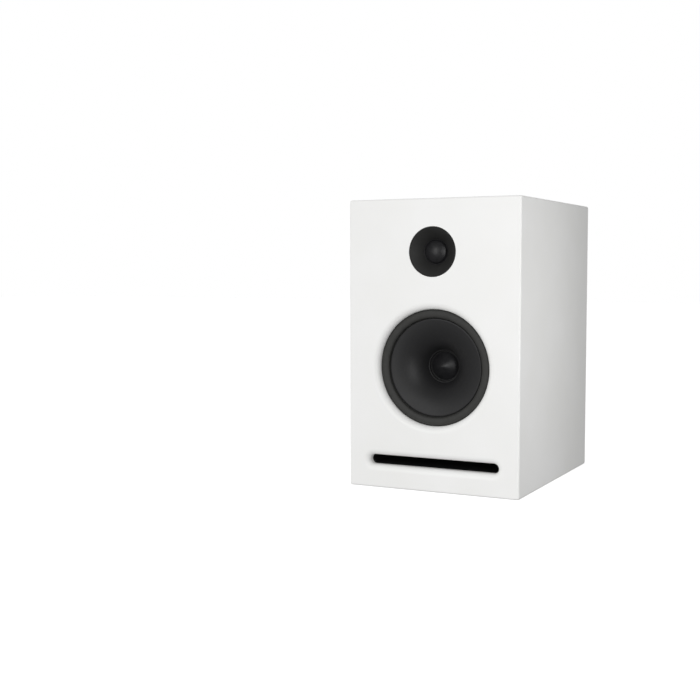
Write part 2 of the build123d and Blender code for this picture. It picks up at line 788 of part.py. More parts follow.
lead_r = 1
board_lead_y = board_front_y - lead_r - 0.1
tab_lead_y = nut_back_y - lead_r - 0.1
with BuildPart() as input_leads:
    for side in (-1, 1):
        route = [
            (side * post_x, tab_lead_y, cup_z + 10),
            (side * post_x, tab_lead_y, cup_z + 24),
            (side * (post_x + 1), tab_lead_y + 3, cup_z + 40),
            (side * (post_x + 1), board_lead_y, cup_z + 53),
            (side * (post_x + 2), board_lead_y, cup_z + 65),
        ]
        wire(route, lead_r, corner_radii(route))
save(input_leads, "input_leads")

with BuildPart() as woofer_leads:
    for side in (-1, 1):
        z = woofer_z + side * 5
        route = [
            (tag_x, tag_y + 10.2, z),
            (tag_x, tag_y + 28, z),
            (tag_x - 2, front_y + 104, z - 6),
            (tag_x - 4, front_y + 135, z - 10),
            (tag_x - 8, front_y + 166, z - 8),
            (tag_x - 13 + side * 2, board_lead_y - 10, z - side * 3),
            (tag_x - 17 + side * 3, board_lead_y, woofer_z + 18),
        ]
        wire(route, lead_r, corner_radii(route))
save(woofer_leads, "woofer_leads")

with BuildPart() as tweeter_leads:
    for side in (-1, 1):
        z = tweeter_z + side * 4
        route = [
            (tweeter_tag_x, front_y + 22.2, z),
            (tweeter_tag_x, front_y + 42, z),
            (tweeter_tag_x + 2, front_y + 72, z + 5),
            (tweeter_tag_x + 3, front_y + 106, z + 4),
            (tweeter_tag_x + 3, front_y + 140, z - 1),
            (tweeter_tag_x + 2 + side, front_y + 172, z - 6),
            (tweeter_tag_x + 1 + side * 3, board_lead_y - 8, z - side * 2 - 14),
            (tweeter_tag_x + side * 4, board_lead_y, board_z + board_h / 2 - 4),
        ]
        wire(route, lead_r, corner_radii(route))
save(tweeter_leads, "tweeter_leads")
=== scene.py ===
import math

import bmesh
import bpy
import numpy as np
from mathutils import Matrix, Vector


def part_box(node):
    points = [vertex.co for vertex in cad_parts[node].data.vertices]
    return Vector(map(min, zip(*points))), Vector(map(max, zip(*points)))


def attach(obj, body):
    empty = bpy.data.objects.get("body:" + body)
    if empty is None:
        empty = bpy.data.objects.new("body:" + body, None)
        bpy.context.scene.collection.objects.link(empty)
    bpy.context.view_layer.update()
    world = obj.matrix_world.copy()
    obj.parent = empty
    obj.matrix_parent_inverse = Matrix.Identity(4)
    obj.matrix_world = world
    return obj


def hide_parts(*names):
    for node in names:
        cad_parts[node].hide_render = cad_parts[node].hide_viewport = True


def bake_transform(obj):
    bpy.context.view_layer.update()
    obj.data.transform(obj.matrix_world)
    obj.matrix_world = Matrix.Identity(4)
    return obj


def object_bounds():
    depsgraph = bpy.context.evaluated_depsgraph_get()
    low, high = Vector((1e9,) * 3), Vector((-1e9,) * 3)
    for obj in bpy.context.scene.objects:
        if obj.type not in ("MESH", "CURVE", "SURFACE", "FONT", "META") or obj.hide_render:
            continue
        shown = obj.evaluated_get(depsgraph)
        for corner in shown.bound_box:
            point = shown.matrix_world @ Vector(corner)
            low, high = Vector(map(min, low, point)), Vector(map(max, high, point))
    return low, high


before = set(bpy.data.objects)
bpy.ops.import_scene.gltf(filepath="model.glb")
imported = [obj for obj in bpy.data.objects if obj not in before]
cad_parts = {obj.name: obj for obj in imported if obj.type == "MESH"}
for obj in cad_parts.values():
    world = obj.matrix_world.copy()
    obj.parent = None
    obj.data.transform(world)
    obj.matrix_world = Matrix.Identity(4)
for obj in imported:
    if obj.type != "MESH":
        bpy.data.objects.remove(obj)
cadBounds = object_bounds()
mm = 0.001

# places that everything else is worked out from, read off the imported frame
lowCorner, highCorner = cadBounds
frontY = lowCorner.y


def nodeMiddle(node):
    low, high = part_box(node)
    return (low + high) / 2


wooferZ = nodeMiddle("woofer_magnet").z
tweeterZ = nodeMiddle("tweeter_magnet").z
print("frame loaded, cabinet", [round(v * 1000) for v in highCorner - lowCorner], "mm")


cameraSettings = {
    "place": (0.4278, -1.1169, 0.2178),
    "pitch": -4.133,  # degrees, down
    "turn": 27.247,  # degrees towards -X
    "roll": 0.087,
    "lens": 58.08,
    "sensor": 36,
}


def makeCamera():
    data = bpy.data.cameras.new("camera")
    data.lens = cameraSettings["lens"]
    data.sensor_width = cameraSettings["sensor"]
    data.clip_start = 0.01
    camera = bpy.data.objects.new("camera", data)
    bpy.context.scene.collection.objects.link(camera)
    camera.location = cameraSettings["place"]
    camera.rotation_mode = "XYZ"
    camera.rotation_euler = (
        math.radians(90 + cameraSettings["pitch"]),
        math.radians(cameraSettings["roll"]),
        math.radians(cameraSettings["turn"]),
    )
    bpy.context.scene.camera = camera


# three upright softboxes, two ahead and one beside the cabinet, in a white room that is brightest on
# the listener's left; azimuth 0 is straight ahead of the baffle and grows to the listener's right,
# distances are from the tweeter, and lengths are metres
studio = {
    "even": 0.57,  # the room's light on every side
    "towards": (-0.28, -0.14, 0.12),  # how much more comes from +X, +Y and +Z
    "least": 0.05,
    "reflected": 0.15,  # share of the room's light that glossy surfaces see
    "key": {"azimuth": -13, "elevation": 3, "distance": 1.7, "size": (0.4, 1.1), "watts": 8},
    "right": {"azimuth": 42, "elevation": 2, "distance": 1.0, "size": (0.18, 0.7), "watts": 2.6},
    "side": {"azimuth": 94, "elevation": -8, "distance": 0.37, "size": (0.08, 0.34), "watts": 0.37},
    "floorSide": 12,
    "floorGlow": 0.5,  # emission that whitens the table
}


def makeLight(name, azimuth, elevation, distance, size, watts):
    data = bpy.data.lights.new(name, "AREA")
    data.shape = "RECTANGLE"
    data.size, data.size_y = size
    data.energy = watts
    light = bpy.data.objects.new(name, data)
    bpy.context.scene.collection.objects.link(light)
    side, lift = math.radians(azimuth), math.radians(elevation)
    level = distance * math.cos(lift)
    light.location = (
        level * math.sin(side),
        frontY - level * math.cos(side),
        tweeterZ + distance * math.sin(lift),
    )
    aim = nodeMiddle("front_baffle") - light.location
    light.rotation_euler = aim.to_track_quat("-Z", "Y").to_euler()
    light.visible_camera = False


# sRGB hex to linear red, green, blue, alpha
def linearFromHex(colour):
    parts = np.array([int(colour[i:i + 2], 16) for i in (1, 3, 5)]) / 255
    linear = np.where(parts <= 0.04045, parts / 12.92, ((parts + 0.055) / 1.055) ** 2.4)
    return (*linear.tolist(), 1)


# adds a node, sets its settings and ramp stops, fills its inputs or links them to other nodes,
# and links its first output to a socket
def addNode(tree, kind, inputs=None, to=None, stops=(), **settings):
    node = tree.nodes.new(kind)
    for name, value in settings.items():
        setattr(node, name, value)
    for name, value in (inputs or {}).items():
        source = value.outputs[0] if isinstance(value, bpy.types.Node) else value
        if isinstance(source, bpy.types.NodeSocket):
            tree.links.new(source, node.inputs[name])
        else:
            node.inputs[name].default_value = source
    if stops:
        ramp = node.color_ramp
        while len(ramp.elements) < len(stops):
            ramp.elements.new(0.5)
        for element, (place, colour) in zip(ramp.elements, stops):
            element.position = place
            element.color = linearFromHex(colour)
    if to:
        tree.links.new(node.outputs[0], to)
    return node


# a named material, its shader's inputs, and the object's own coordinates in metres
def startMaterial(name, roughness, **shaderInputs):
    material = bpy.data.materials.new(name)
    material.use_nodes = True
    tree = material.node_tree
    surface = tree.nodes["Principled BSDF"].inputs
    surface["Roughness"].default_value = roughness
    for key, value in shaderInputs.items():
        surface[key.replace("_", " ")].default_value = value
    place = addNode(tree, "ShaderNodeTexCoord").outputs["Object"]
    return material, tree, surface, place


# texture scale whose grains are that many millimetres across
def grainOf(size):
    return 1 / (size * mm)


# wave texture scale whose bands are that many millimetres apart
def bandsOf(pitch):
    bandAtScaleOne = 0.314
    return bandAtScaleOne / (pitch * mm)


def satinWhiteLacquer():
    # polyurethane lacquer sprayed on sanded MDF: even, softly shiny, with a faint orange peel
    material, tree, surface, place = startMaterial("satin_white_lacquer", 0.42, IOR=1.48)
    clouds = addNode(tree, "ShaderNodeTexNoise", {"Vector": place, "Scale": grainOf(60)})
    peel = addNode(tree, "ShaderNodeTexNoise", {"Vector": place, "Scale": grainOf(1.6), "Detail": 1})
    tones = [(0.3, "#EDEDEB"), (0.7, "#F0F0EF")]
    addNode(tree, "ShaderNodeValToRGB", {"Fac": clouds}, surface["Base Color"], tones)
    sheen = {"Value": clouds, "To Min": 0.38, "To Max": 0.46}
    addNode(tree, "ShaderNodeMapRange", sheen, surface["Roughness"])
    relief = {"Height": peel, "Distance": 0.012 * mm, "Strength": 0.35}
    addNode(tree, "ShaderNodeBump", relief, surface["Normal"])
    return material


def rawMdf():
    # fibreboard as sawn: short pale fibres pressed in a brown ground
    material, tree, surface, place = startMaterial("raw_mdf", 0.85, IOR=1.45)
    fibres = addNode(tree, "ShaderNodeTexNoise", {"Vector": place, "Scale": grainOf(0.7), "Detail": 4})
    tones = [(0.3, "#9C7A52"), (0.7, "#C3A074")]
    addNode(tree, "ShaderNodeValToRGB", {"Fac": fibres}, surface["Base Color"], tones)
    relief = {"Height": fibres, "Distance": 0.05 * mm, "Strength": 0.5}
    addNode(tree, "ShaderNodeBump", relief, surface["Normal"])
    return material


def mouldedAbs(name, colour, highlight, grain, roughness):
    # ABS moulded in a spark-eroded tool: a fine even grain that breaks up the gloss
    material, tree, surface, place = startMaterial(name, roughness, IOR=1.54)
    sparks = addNode(tree, "ShaderNodeTexNoise", {"Vector": place, "Scale": grainOf(grain), "Detail": 1})
    wear = addNode(tree, "ShaderNodeTexNoise", {"Vector": place, "Scale": grainOf(14)})
    tones = [(0.35, colour), (0.7, highlight)]
    addNode(tree, "ShaderNodeValToRGB", {"Fac": wear}, surface["Base Color"], tones)
    sheen = {"Value": wear, "To Min": roughness - 0.05, "To Max": roughness + 0.06}
    addNode(tree, "ShaderNodeMapRange", sheen, surface["Roughness"])
    relief = {"Height": sparks, "Distance": 0.03 * mm, "Strength": 0.5}
    addNode(tree, "ShaderNodeBump", relief, surface["Normal"])
    return material


def mouldedRubber():
    # nitrile rubber pressed in a blasted mould: dull, with a faint grey bloom
    material, tree, surface, place = startMaterial("moulded_rubber", 0.62, IOR=1.52)
    bloom = addNode(tree, "ShaderNodeTexNoise", {"Vector": place, "Scale": grainOf(9), "Detail": 3})
    grain = addNode(tree, "ShaderNodeTexNoise", {"Vector": place, "Scale": grainOf(0.45), "Detail": 1})
    tones = [(0.3, "#2F2F2D"), (0.7, "#353533")]
    addNode(tree, "ShaderNodeValToRGB", {"Fac": bloom}, surface["Base Color"], tones)
    sheen = {"Value": bloom, "To Min": 0.56, "To Max": 0.68}
    addNode(tree, "ShaderNodeMapRange", sheen, surface["Roughness"])
    relief = {"Height": grain, "Distance": 0.03 * mm, "Strength": 0.6}
    addNode(tree, "ShaderNodeBump", relief, surface["Normal"])
    return material


def sealFoam():
    # closed-cell foam tape, cut from sheet; each cut cell is painted darker towards its middle as painted
    # shade in the pit
    material, tree, surface, place = startMaterial("seal_foam", 0.9)
    cellsWithPitShade = addNode(tree, "ShaderNodeTexVoronoi", {"Vector": place, "Scale": grainOf(0.6)})
    tones = [(0.0, "#161616"), (0.8, "#242424")]
    # the darker tone at each cell's middle, where the bump sinks it, is painted shade
    addNode(tree, "ShaderNodeValToRGB", {"Fac": cellsWithPitShade}, surface["Base Color"], tones)
    relief = {"Height": cellsWithPitShade, "Distance": 0.1 * mm, "Strength": 0.6}
    addNode(tree, "ShaderNodeBump", relief, surface["Normal"])
    return material


def satinPolypropylene():
    # mica-filled polypropylene, injection moulded: satin, with very fine flecks
    material, tree, surface, place = startMaterial("satin_polypropylene", 0.5, IOR=1.49)
    flecks = addNode(tree, "ShaderNodeTexNoise", {"Vector": place, "Scale": grainOf(0.5)})
    clouds = addNode(tree, "ShaderNodeTexNoise", {"Vector": place, "Scale": grainOf(22)})
    tones = [(0.35, "#1E1E1F"), (0.75, "#262627")]
    addNode(tree, "ShaderNodeValToRGB", {"Fac": flecks}, surface["Base Color"], tones)
    sheen = {"Value": clouds, "To Min": 0.45, "To Max": 0.55}
    addNode(tree, "ShaderNodeMapRange", sheen, surface["Roughness"])
    relief = {"Height": flecks, "Distance": 0.012 * mm, "Strength": 0.4}
    addNode(tree, "ShaderNodeBump", relief, surface["Normal"])
    return material


def glossPolypropylene():
    # unfilled polypropylene from a polished mould: nearly black, with clear highlights
    material, tree, surface, place = startMaterial("gloss_polypropylene", 0.4, IOR=1.49)
    haze = addNode(tree, "ShaderNodeTexNoise", {"Vector": place, "Scale": grainOf(5)})
    tones = [(0.3, "#18181A"), (0.7, "#1F1F21")]
    addNode(tree, "ShaderNodeValToRGB", {"Fac": haze}, surface["Base Color"], tones)
    sheen = {"Value": haze, "To Min": 0.36, "To Max": 0.46}
    addNode(tree, "ShaderNodeMapRange", sheen, surface["Roughness"])
    return material


def dopedSilk():
    # plain-woven silk under rubbery varnish; the real 0.1 mm weave is drawn at 0.35 mm to show
    material, tree, surface, place = startMaterial("doped_silk", 0.42, IOR=1.5)
    threads = {"Vector": place, "Scale": bandsOf(0.35)}
    warp = addNode(tree, "ShaderNodeTexWave", threads, bands_direction="X")
    weft = addNode(tree, "ShaderNodeTexWave", threads, bands_direction="Z")
    cloth = addNode(tree, "ShaderNodeMath", {0: warp, 1: weft}, operation="MULTIPLY")
    varnish = addNode(tree, "ShaderNodeTexNoise", {"Vector": place, "Scale": grainOf(4)})
    tones = [(0.3, "#1A1A1C"), (0.7, "#212123")]
    addNode(tree, "ShaderNodeValToRGB", {"Fac": varnish}, surface["Base Color"], tones)
    sheen = {"Value": varnish, "To Min": 0.38, "To Max": 0.48}
    addNode(tree, "ShaderNodeMapRange", sheen, surface["Roughness"])
    relief = {"Height": cloth, "Distance": 0.01 * mm, "Strength": 0.35}
    addNode(tree, "ShaderNodeBump", relief, surface["Normal"])
    return material


def resinCloth():
    # cotton cloth stiffened with phenolic resin: amber, with an open square weave whose dips between
    # threads are painted darker as painted shade
    material, tree, surface, place = startMaterial("resin_cloth", 0.75)
    threads = {"Vector": place, "Scale": bandsOf(0.6)}
    warp = addNode(tree, "ShaderNodeTexWave", threads, bands_direction="X")
    weft = addNode(tree, "ShaderNodeTexWave", threads, bands_direction="Z")
    cloth = addNode(tree, "ShaderNodeMath", {0: warp, 1: weft}, operation="ADD")
    tones = [(0.1, "#7A4E1C"), (0.9, "#C69048")]
    # the darker amber in the dips between threads, where the bump sinks, is painted shade
    addNode(tree, "ShaderNodeValToRGB", {"Fac": cloth}, surface["Base Color"], tones)
    relief = {"Height": cloth, "Distance": 0.08 * mm, "Strength": 0.6}
    addNode(tree, "ShaderNodeBump", relief, surface["Normal"])
    return material


def openCellFoam():
    # polyurethane foam, cut: soft charcoal with visible open cells about 1.2 mm across, each painted
    # darker towards its middle as painted shade in the pit
    material, tree, surface, place = startMaterial("open_cell_foam", 0.95, Sheen_Weight=0.3)
    cellsWithPitShade = addNode(tree, "ShaderNodeTexVoronoi", {"Vector": place, "Scale": grainOf(1.2)})
    tones = [(0.0, "#2A2A2D"), (0.7, "#55555A")]
    # the dark tone at each cell's middle, where the bump sinks it, is painted shade
    addNode(tree, "ShaderNodeValToRGB", {"Fac": cellsWithPitShade}, surface["Base Color"], tones)
    relief = {"Height": cellsWithPitShade, "Distance": 0.4 * mm, "Strength": 0.7}
    addNode(tree, "ShaderNodeBump", relief, surface["Normal"])
    return material


def powderCoat():
    # epoxy powder baked on cast alloy: black with a fine even pebble
    material, tree, surface, place = startMaterial("black_powder_coat", 0.55, IOR=1.5)
    pebble = addNode(tree, "ShaderNodeTexNoise", {"Vector": place, "Scale": grainOf(0.5), "Detail": 1})
    tones = [(0.3, "#141414"), (0.8, "#222222")]
    addNode(tree, "ShaderNodeValToRGB", {"Fac": pebble}, surface["Base Color"], tones)
    relief = {"Height": pebble, "Distance": 0.05 * mm, "Strength": 0.6}
    addNode(tree, "ShaderNodeBump", relief, surface["Normal"])
    return material


def turnedSteel(name, centre):
    # low-carbon steel faced on a lathe and zinc plated: rings 0.5 mm apart round the axis
    material, tree, surface, place = startMaterial(name, 0.34, Metallic=1.0)
    centred = addNode(tree, "ShaderNodeMapping", {"Vector": place, "Location": (0, 0, -centre)})
    cut = {"Vector": centred, "Scale": bandsOf(0.5), "Distortion": 0.4}
    rings = addNode(tree, "ShaderNodeTexWave", cut, wave_type="RINGS", rings_direction="Y")
    stain = addNode(tree, "ShaderNodeTexNoise", {"Vector": place, "Scale": grainOf(12)})
    tones = [(0.3, "#B9B6AC"), (0.7, "#CFCDC6")]
    addNode(tree, "ShaderNodeValToRGB", {"Fac": stain}, surface["Base Color"], tones)
    sheen = {"Value": rings, "To Min": 0.28, "To Max": 0.42}
    addNode(tree, "ShaderNodeMapRange", sheen, surface["Roughness"])
    relief = {"Height": rings, "Distance": 0.01 * mm, "Strength": 0.4}
    addNode(tree, "ShaderNodeBump", relief, surface["Normal"])
    return material


def sinteredFerrite():
    # pressed and fired ferrite: charcoal, dull, with tiny pits
    material, tree, surface, place = startMaterial("sintered_ferrite", 0.72)
    pits = addNode(tree, "ShaderNodeTexNoise", {"Vector": place, "Scale": grainOf(0.8), "Detail": 4})
    tones = [(0.3, "#242427"), (0.7, "#333337")]
    addNode(tree, "ShaderNodeValToRGB", {"Fac": pits}, surface["Base Color"], tones)
    relief = {"Height": pits, "Distance": 0.06 * mm, "Strength": 0.6}
    addNode(tree, "ShaderNodeBump", relief, surface["Normal"])
    return material


def rolledAluminium():
    # bare foil rolled to a tube: bright, with fine lines round it
    material, tree, surface, place = startMaterial("rolled_aluminium", 0.3, Metallic=1.0)
    rolled = {"Vector": place, "Scale": bandsOf(0.4), "Distortion": 1.5}
    lines = addNode(tree, "ShaderNodeTexWave", rolled, bands_direction="Y")
    tones = [(0.2, "#C9CACC"), (0.8, "#DCDDDF")]
    addNode(tree, "ShaderNodeValToRGB", {"Fac": lines}, surface["Base Color"], tones)
    sheen = {"Value": lines, "To Min": 0.24, "To Max": 0.36}
    addNode(tree, "ShaderNodeMapRange", sheen, surface["Roughness"])
    return material


def enamelledCopper(name, pitch):
    # copper wire under clear enamel, wound in layers; the turns lie side by side, and the grooves between
    # them are painted dark as painted shade
    material, tree, surface, place = startMaterial(name, 0.3, Metallic=1.0, Coat_Weight=0.4)
    wound = {"Vector": place, "Scale": bandsOf(pitch)}
    turnsAndGrooveShade = addNode(tree, "ShaderNodeTexWave", wound, bands_direction="Y")
    tones = [(0.0, "#6B2E12"), (0.6, "#C8743C")]
    # the tone darkens towards the grooves between turns, where the bump sinks: painted shade
    addNode(tree, "ShaderNodeValToRGB", {"Fac": turnsAndGrooveShade}, surface["Base Color"], tones)
    relief = {"Height": turnsAndGrooveShade, "Distance": 0.12 * mm, "Strength": 0.9}
    addNode(tree, "ShaderNodeBump", relief, surface["Normal"])
    return material


def platedMetal(name, colour, highlight, roughness, grain):
    # thin bright plating over a turned or stamped part
    material, tree, surface, place = startMaterial(name, roughness, Metallic=1.0)
    haze = addNode(tree, "ShaderNodeTexNoise", {"Vector": place, "Scale": grainOf(grain), "Detail": 3})
    tones = [(0.3, colour), (0.7, highlight)]
    addNode(tree, "ShaderNodeValToRGB", {"Fac": haze}, surface["Base Color"], tones)
    sheen = {"Value": haze, "To Min": roughness - 0.05, "To Max": roughness + 0.08}
    addNode(tree, "ShaderNodeMapRange", sheen, surface["Roughness"])
    return material


def clearMoulding(name, colour, highlight):
    # polycarbonate moulded in a polished tool: deep colour and a clear gloss
    material, tree, surface, place = startMaterial(name, 0.22, IOR=1.58, Coat_Weight=0.2)
    depth = addNode(tree, "ShaderNodeTexNoise", {"Vector": place, "Scale": grainOf(6)})
    tones = [(0.3, colour), (0.7, highlight)]
    addNode(tree, "ShaderNodeValToRGB", {"Fac": depth}, surface["Base Color"], tones)
    sheen = {"Value": depth, "To Min": 0.18, "To Max": 0.3}
    addNode(tree, "ShaderNodeMapRange", sheen, surface["Roughness"])
    return material


def solderMask():
    # glass-epoxy laminate under green solder mask, with the tracks showing faintly through it
    material, tree, surface, place = startMaterial("solder_mask_laminate", 0.32, IOR=1.55)
    etched = {"Vector": place, "Scale": grainOf(11), "Randomness": 0.4}
    layout = {"feature": "DISTANCE_TO_EDGE", "distance": "MANHATTAN"}
    tracks = addNode(tree, "ShaderNodeTexVoronoi", etched, **layout)
    tones = [(0.08, "#1B6B3B"), (0.12, "#114A29")]
    addNode(tree, "ShaderNodeValToRGB", {"Fac": tracks}, surface["Base Color"], tones)
    relief = {"Height": tracks, "Distance": 0.04 * mm, "Strength": 0.3}
    addNode(tree, "ShaderNodeBump", relief, surface["Normal"])
    return material


def plainMoulding(name, colour, highlight, roughness, grain):
    # small moulded or pressed part with a slightly mottled surface
    material, tree, surface, place = startMaterial(name, roughness)
    mottle = addNode(tree, "ShaderNodeTexNoise", {"Vector": place, "Scale": grainOf(grain), "Detail": 3})
    tones = [(0.3, colour), (0.7, highlight)]
    addNode(tree, "ShaderNodeValToRGB", {"Fac": mottle}, surface["Base Color"], tones)
    relief = {"Height": mottle, "Distance": 0.02 * mm, "Strength": 0.4}
    addNode(tree, "ShaderNodeBump", relief, surface["Normal"])
    return material


materials = {
    "lacquer": satinWhiteLacquer(),
    "mdf": rawMdf(),
    "blackAbs": mouldedAbs("moulded_black_abs", "#101010", "#161616", 0.5, 0.6),
    "waveguideAbs": mouldedAbs("moulded_waveguide_abs", "#1D1D1C", "#232322", 0.35, 0.62),
    "rubber": mouldedRubber(),
    "sealFoam": sealFoam(),
    "cone": satinPolypropylene(),
    "cap": glossPolypropylene(),
    "silk": dopedSilk(),
    "spider": resinCloth(),
    "foam": openCellFoam(),
    "powder": powderCoat(),
    "wooferSteel": turnedSteel("zinc_plated_steel_large", wooferZ),
    "tweeterSteel": turnedSteel("zinc_plated_steel_small", tweeterZ),
    "ferrite": sinteredFerrite(),
    "foil": rolledAluminium(),
    "fineWinding": enamelledCopper("enamelled_copper_fine", 0.3),
    "heavyWinding": enamelledCopper("enamelled_copper_heavy", 0.9),
    "blackScrew": platedMetal("black_oxide_steel", "#1E1E20", "#2C2C2F", 0.4, 1.5),
    "zincScrew": platedMetal("zinc_plated_screw", "#B5B3AC", "#CDCBC6", 0.3, 1.5),
    "gold": platedMetal("gold_plated_brass", "#C99B3F", "#DDB861", 0.22, 3),
    "tin": platedMetal("tinned_brass", "#B9B8B2", "#CCCBC6", 0.3, 2),
    "redCap": clearMoulding("red_polycarbonate", "#8E0F12", "#A81518"),
    "blackCap": clearMoulding("black_polycarbonate", "#0E0E0F", "#151517"),
    "laminate": solderMask(),
    "nylon": plainMoulding("moulded_nylon", "#DCD8C8", "#E8E5D8", 0.5, 2),
    "filmWrap": plainMoulding("wrapped_polyester_film", "#B8791F", "#C98C33", 0.3, 8),
    "cement": plainMoulding("resistor_cement", "#CFC8B8", "#E0DBCF", 0.9, 0.6),
    "fibre": plainMoulding("phenolic_fibre", "#5C3A20", "#7A5232", 0.6, 1.2),
    "blackWire": plainMoulding("black_pvc", "#121212", "#1B1B1B", 0.4, 3),
    "braid": enamelledCopper("braided_tinsel", 0.4),
}
print("materials made:", len(materials))


# how near points are joined, in metres, and the angle past which an edge is shaded sharp
meshFinish = {"joinWithin": 1e-7, "degenerateBelow": 1e-8, "sharpAbove": 32, "wireSharpAbove": 50}


# closes a mesh's seams and poles, turns its faces outwards, shades it and makes it a piece
def finishPiece(name, mesh, material, sharpAbove):
    work = bmesh.new()
    work.from_mesh(mesh)
    bmesh.ops.remove_doubles(work, verts=work.verts, dist=meshFinish["joinWithin"])
    bmesh.ops.dissolve_degenerate(work, edges=work.edges, dist=meshFinish["degenerateBelow"])
    bmesh.ops.recalc_face_normals(work, faces=work.faces)
    work.to_mesh(mesh)
    work.free()
    mesh.polygons.foreach_set("use_smooth", np.ones(len(mesh.polygons), bool))
    mesh.set_sharp_from_angle(angle=math.radians(sharpAbove))
    mesh.materials.clear()
    mesh.materials.append(material)
    piece = bpy.data.objects.new(name, mesh)
    bpy.context.scene.collection.objects.link(piece)
    return piece


def meshPiece(name, points, faces, material):
    mesh = bpy.data.meshes.new(name)
    mesh.from_pydata(points, [], faces)
    return finishPiece(name, mesh, material, meshFinish["sharpAbove"])


# the quads between neighbours in a grid of point numbers
def quadsBetween(index):
    corners = [index[:-1, :-1], index[1:, :-1], index[1:, 1:], index[:-1, 1:]]
    return np.stack(corners, axis=-1).reshape(-1, 4)


# carries an outline of (depth, radius) millimetres round a driver's axis:
# x = radius cos turn, y = front + depth, z = axis height + radius sin turn
def turnedPiece(name, outline, axisZ, material, sides=176):
    depth, radius = np.array(outline).T * mm
    turn = np.linspace(0, 2 * np.pi, sides, endpoint=False)
    x = np.outer(radius, np.cos(turn))
    y = np.repeat(frontY + depth[:, None], sides, axis=1)
    z = axisZ + np.outer(radius, np.sin(turn))
    index = np.arange(x.size).reshape(x.shape)
    index = np.vstack([index, index[:1]])  # the outline closes, and so does the turn
    index = np.hstack([index, index[:, :1]])
    points = np.stack([x, y, z], axis=-1).reshape(-1, 3)
    return meshPiece(name, points, quadsBetween(index), material)


# points on an ellipse in the (depth, radius) plane; 0 degrees points away from the axis
# and 90 towards the listener
def arcLine(depth, radius, size, start, end, count, height=None):
    turn = np.radians(np.linspace(start, end, count))
    rise = size if height is None else height
    return np.stack([depth - rise * np.sin(turn), radius + size * np.cos(turn)], axis=1)


# quadratic curve from a to c that leans towards b
def leaningLine(a, b, c, count):
    t = np.linspace(0, 1, count)[:, None]
    return (1 - t) ** 2 * np.array(a) + 2 * t * (1 - t) * np.array(b) + t**2 * np.array(c)


# a line and its copy one wall thickness to the side, as one closed outline
def walled(line, thickness):
    line = np.array(line, float)
    along = np.gradient(line, axis=0)
    along /= np.linalg.norm(along, axis=1)[:, None]
    across = np.stack([-along[:, 1], along[:, 0]], axis=1)
    return np.vstack([line, (line + across * thickness)[::-1]])


# bakes the piece's placement into its points and works out how far each would follow the moving body (0
# at the outer radius, 1 at the inner, smooth between), but keeps that share nowhere
def flexBetween(piece, fixedBody, movingBody, axisZ, outer, inner):
    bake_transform(piece)
    places = np.empty(len(piece.data.vertices) * 3)
    piece.data.vertices.foreach_get("co", places)
    x, _, z = places.reshape(-1, 3).T
    share = np.clip((outer * mm - np.hypot(x, z - axisZ)) / ((outer - inner) * mm), 0, 1)
    share = share**2 * (3 - 2 * share)


# in every outline, depths are behind the front face and radii from the driver's axis, in millimetres
surround = {
    "lip": [(8.02, 60.4), (8.02, 57.3)],  # flat outer edge, clamped on the basket
    "rollDepth": 8.9,
    "rollRadius": 52.8,
    "rollSize": 4.1,
    "rollHeight": 3.5,
    "rollStart": 14,  # degrees past the outermost point, where the lip meets the roll
    "flatness": 0.55,  # 1 is a half ellipse, less is flatter on top
    "wall": 0.8,
    "foot": [(9.5, 48.6), (9.6, 47.2)],  # inner edge, glued on the cone's rim
    "flexes": (56.6, 48.9),  # outer and inner radius of the part that bends
}


# half roll with a flat lip outside it and a flat foot inside, one wall thick:
# depth = roll depth - height * sin turn ^ flatness, radius = middle + size * cos turn
def makeSurround():
    turn = np.radians(np.linspace(surround["rollStart"], 180, 48))
    rise = surround["rollHeight"] * np.sin(turn).clip(0) ** surround["flatness"]
    radius = surround["rollRadius"] + surround["rollSize"] * np.cos(turn)
    roll = np.stack([surround["rollDepth"] - rise, radius], axis=1)
    line = np.vstack([surround["lip"], roll, surround["foot"]])
    outline = walled(line, surround["wall"])
    piece = turnedPiece("wooferSurround", outline, wooferZ, materials["rubber"])
    flexBetween(piece, "cabinet", "woofer_cone_assembly", wooferZ, *surround["flexes"])
    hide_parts("woofer_surround")


cone = {
    "bead": (9.5, 46.75, 1.6, 1.0),  # depth, radius, half width and height of the rolled rim
    "beadEnd": 112,  # degrees round the rim where the flare begins
    "flareLean": (12.6, 20.6),
    "flareEnd": (31.4, 16.3),
    "ring": (31.6, 15.75, 0.3),  # depth, radius and size of the raised ring round the cap
    "groove": [(32.6, 15.4), (34.1, 14.7), (34.2, 14.2), (33.6, 13.3), (33.45, 12.75), (33.6, 12.7)],
    "neck": [(33.65, 13.2), (35, 13.2), (35, 15.0), (34.0, 16.4)],
    "back": [(33.0, 17.3), (13.2, 22.4), (10.8, 44.8)],  # start, lean and end of the rear face
    "rim": [(10.7, 49.0), (9.75, 49.0), (9.75, 48.4)],
}


# rolled rim, a trumpet flare that steepens inwards, a fine ring, a groove round the cap and the
# neck, then back outside
def makeCone():
    depth, radius, size, height = cone["bead"]
    bead = arcLine(depth, radius, size, start=0, end=cone["beadEnd"], count=16, height=height)
    flare = leaningLine(bead[-1], cone["flareLean"], cone["flareEnd"], count=60)[1:]
    depth, radius, size = cone["ring"]
    ring = arcLine(depth, radius, size, start=30, end=180, count=8)
    back = leaningLine(*cone["back"], count=60)
    outline = np.vstack([bead, flare, ring, cone["groove"], cone["neck"], back, cone["rim"]])
    piece = turnedPiece("wooferCone", outline, wooferZ, materials["cone"])
    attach(piece, "woofer_cone_assembly")
    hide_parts("woofer_cone")


dustCap = {"tipDepth": 24.4, "rise": 9.3, "radius": 13.7, "wall": 0.5, "power": 1.22, "edge": 34.05}


